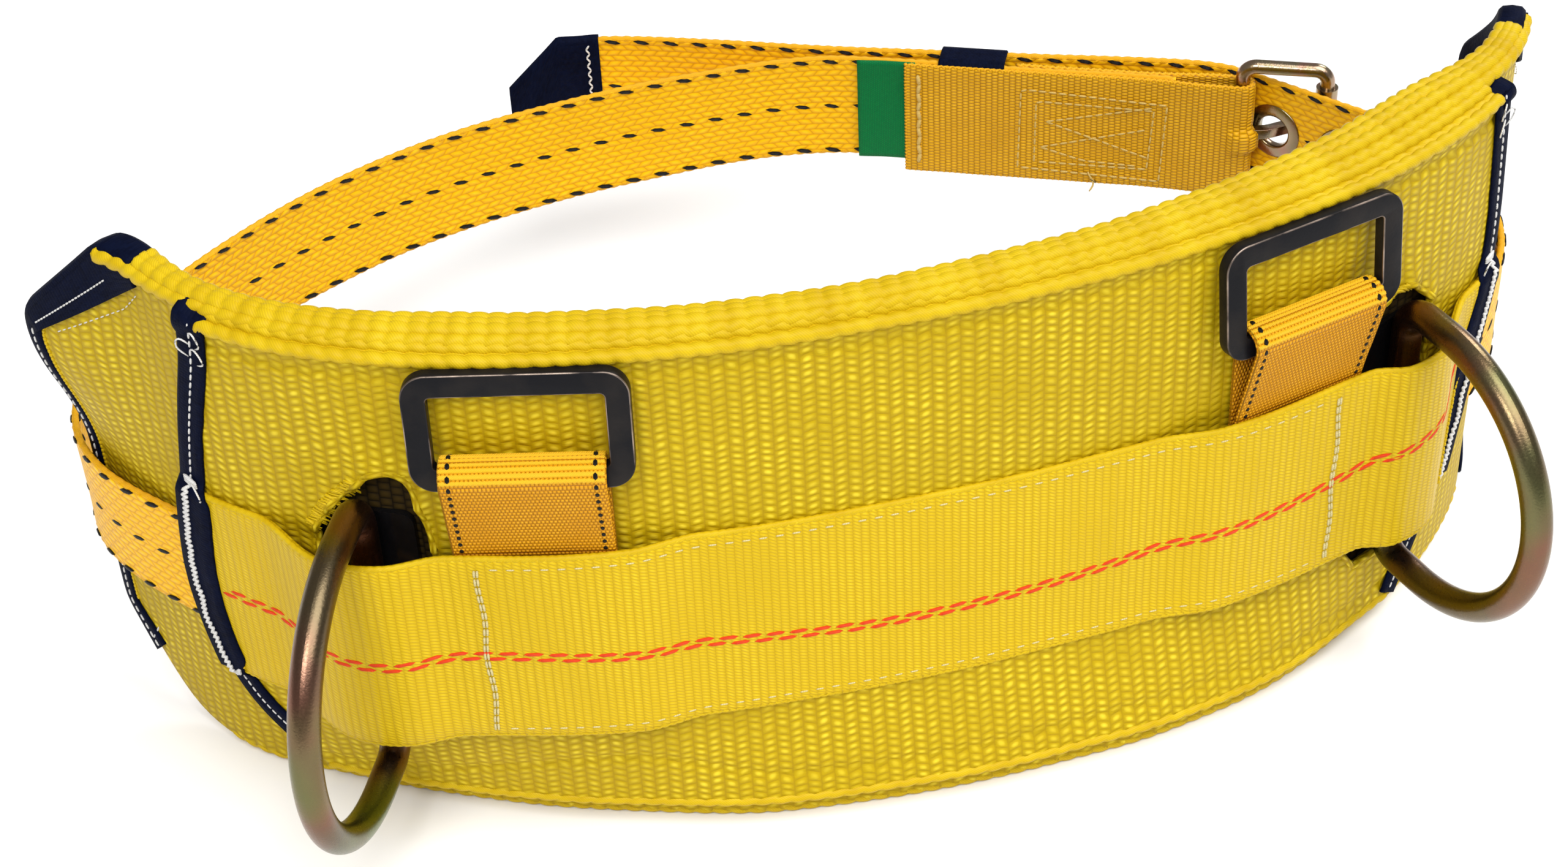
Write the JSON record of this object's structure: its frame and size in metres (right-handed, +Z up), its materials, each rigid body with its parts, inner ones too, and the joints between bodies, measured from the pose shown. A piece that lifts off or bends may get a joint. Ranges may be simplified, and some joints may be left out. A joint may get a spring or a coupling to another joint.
{
  "type": "tree climbing saddle",
  "caption": "Layered webbing climbing saddle with a tall back pad, two side D-rings, two lifting rings on sewn loops, and a gold waist belt with a roller buckle.",
  "frame": {"origin": "middle of the back on the bottom edge of the pad", "axes": "+Z up, +Y towards the buckle at the wearer's front, +X to the right seen from behind the pad"},
  "size_m": [0.5073, 0.392, 0.202],
  "materials": {
    "pad_webbing": "ribbed woven polyester webbing",
    "load_webbing": "flat woven polyester webbing with an orange tracer",
    "loop_webbing": "fine ribbed gold webbing with black tracers",
    "belt_webbing": "coarse diamond-woven gold webbing with black tracers",
    "buckle_webbing": "ribbed gold webbing",
    "navy_tape": "folded nylon binding tape",
    "green_label": "plain woven label",
    "black_steel": "black coated forged steel, worn at the edges",
    "black_plastic": "black moulded wear plate",
    "zinc_steel": "forged steel with yellow zinc plating",
    "buckle_steel": "zinc plated steel wire",
    "grommet_steel": "pressed steel grommet"
  },
  "bodies": {
    "saddle": {"inner_pad": "pad_webbing", "middle_pad": "pad_webbing", "outer_pad": "pad_webbing", "inner_binding_left": "navy_tape", "inner_binding_right": "navy_tape", "outer_binding_left": "navy_tape", "outer_binding_right": "navy_tape", "load_strap": "load_webbing", "ring_loop_left": "loop_webbing", "ring_loop_right": "loop_webbing", "d_ring_keeper_left": "black_plastic", "d_ring_keeper_right": "black_plastic", "waist_belt": "belt_webbing", "belt_tip": "navy_tape", "grommet_barrels": "grommet_steel", "grommet_washers": "grommet_steel", "size_tag": "green_label", "buckle_strap": "buckle_webbing", "keeper_loop": "navy_tape"},
    "left_d_ring": {"d_ring_left": "zinc_steel"},
    "right_d_ring": {"d_ring_right": "zinc_steel"},
    "left_lifting_ring": {"link_ring_left": "black_steel"},
    "right_lifting_ring": {"link_ring_right": "black_steel"},
    "buckle": {"buckle_frame": "buckle_steel"},
    "tongue": {"buckle_tongue": "buckle_steel"},
    "roller": {"buckle_roller": "buckle_steel"}
  },
  "joints": [
    {"name": "left_d_ring_swing", "type": "hinge", "parent": "saddle", "child": "left_d_ring", "pos_m": [-0.17213, 0.02417, 0.09], "axis": [0, 0, -1], "range_deg": [-45, 50]},
    {"name": "right_d_ring_swing", "type": "hinge", "parent": "saddle", "child": "right_d_ring", "pos_m": [0.16981, 0.0187, 0.089], "axis": [0, 0, 1], "range_deg": [-35, 60]},
    {"name": "left_ring_flip", "type": "hinge", "parent": "saddle", "child": "left_lifting_ring", "pos_m": [-0.12371, 0.0005, 0.158], "axis": [0.9631, -0.269, 0], "range_deg": [0, 150]},
    {"name": "right_ring_flip", "type": "hinge", "parent": "saddle", "child": "right_lifting_ring", "pos_m": [0.12554, -0.00061, 0.158], "axis": [0.9699, 0.2437, 0], "range_deg": [0, 150]},
    {"name": "buckle_rock", "type": "hinge", "parent": "saddle", "child": "buckle", "pos_m": [0.195, 0.2135, 0.084], "axis": [0, 0, 1], "range_deg": [-1.5, 3]},
    {"name": "tongue_lift", "type": "hinge", "parent": "buckle", "child": "tongue", "pos_m": [0.195, 0.2135, 0.084], "axis": [0, 0, 1], "range_deg": [0, 6]},
    {"name": "roller_spin", "type": "hinge", "parent": "buckle", "child": "roller", "pos_m": [0.22376, 0.19947, 0.084], "axis": [0, 0, 1], "continuous": true}
  ]
}
